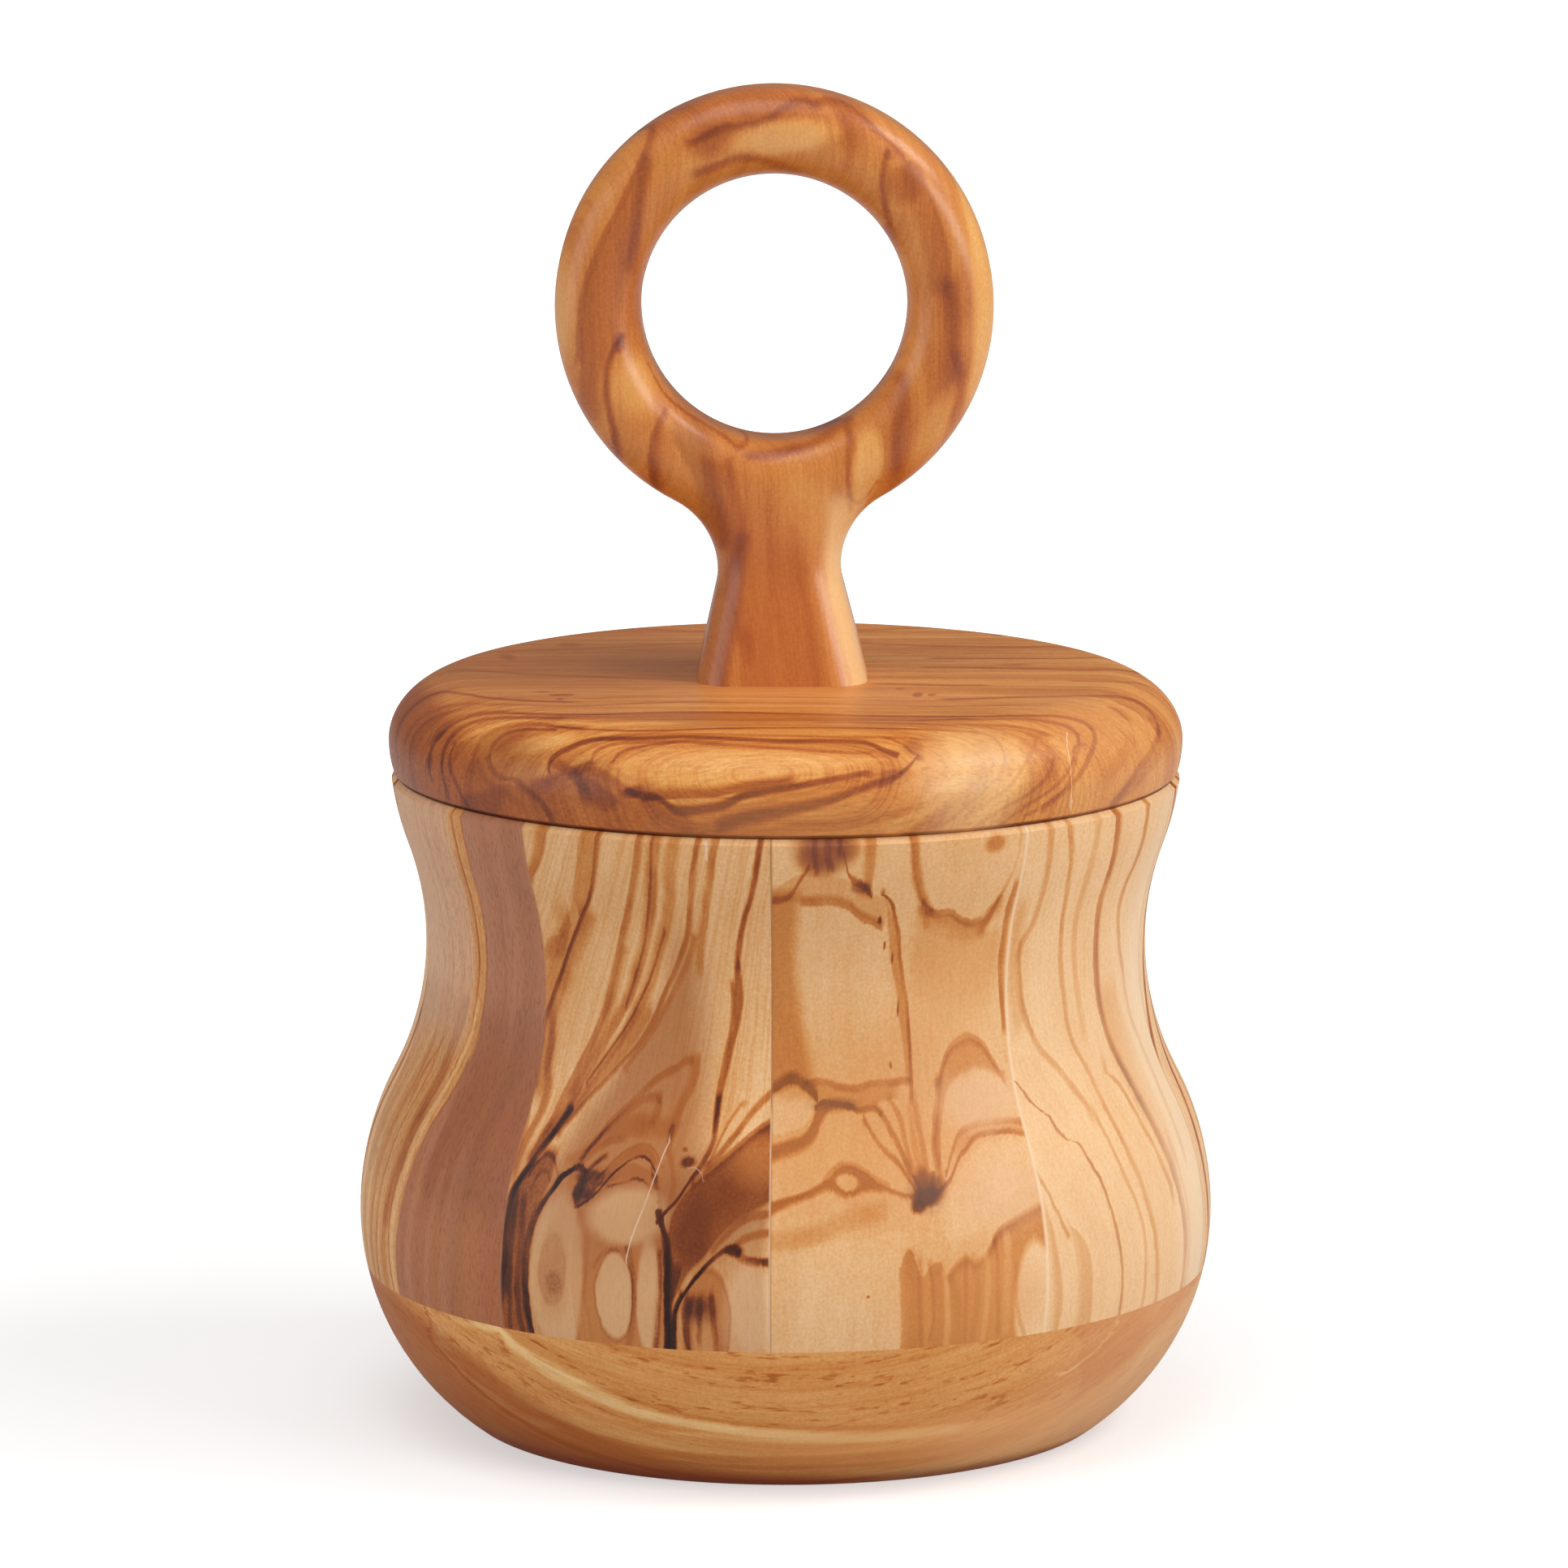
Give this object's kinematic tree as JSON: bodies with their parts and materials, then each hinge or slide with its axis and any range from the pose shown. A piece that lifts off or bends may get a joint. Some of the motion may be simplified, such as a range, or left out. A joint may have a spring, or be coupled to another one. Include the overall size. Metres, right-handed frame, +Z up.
{
  "type": "salt keeper",
  "caption": "Waisted turned-wood salt keeper with glued staves, a round base disc and a lift-off lid with a ring handle.",
  "frame": {"origin": "middle of the foot, on the surface that the pot stands on", "axes": "+Z up through the lid, the front towards -Y, the ring handle lies across X"},
  "size_m": [0.102, 0.102, 0.1593],
  "materials": {
    "stave_wood": "satin oiled",
    "base_wood": "satin oiled",
    "lid_wood": "satin oiled",
    "handle_wood": "satin oiled",
    "dowel_wood": "satin oiled"
  },
  "bodies": {
    "pot": {"base_disc": "base_wood", "stave_1": "stave_wood", "stave_2": "stave_wood", "stave_3": "stave_wood", "stave_4": "stave_wood", "stave_5": "stave_wood", "stave_6": "stave_wood", "stave_7": "stave_wood", "stave_8": "stave_wood", "stave_9": "stave_wood"},
    "lid": {"lid": "lid_wood", "ring_handle": "handle_wood", "handle_dowel": "dowel_wood"}
  },
  "joints": [
    {"name": "lid_lift", "type": "slide", "parent": "pot", "child": "lid", "axis": [0, 0, 1], "range_m": [0, 0.06]}
  ]
}
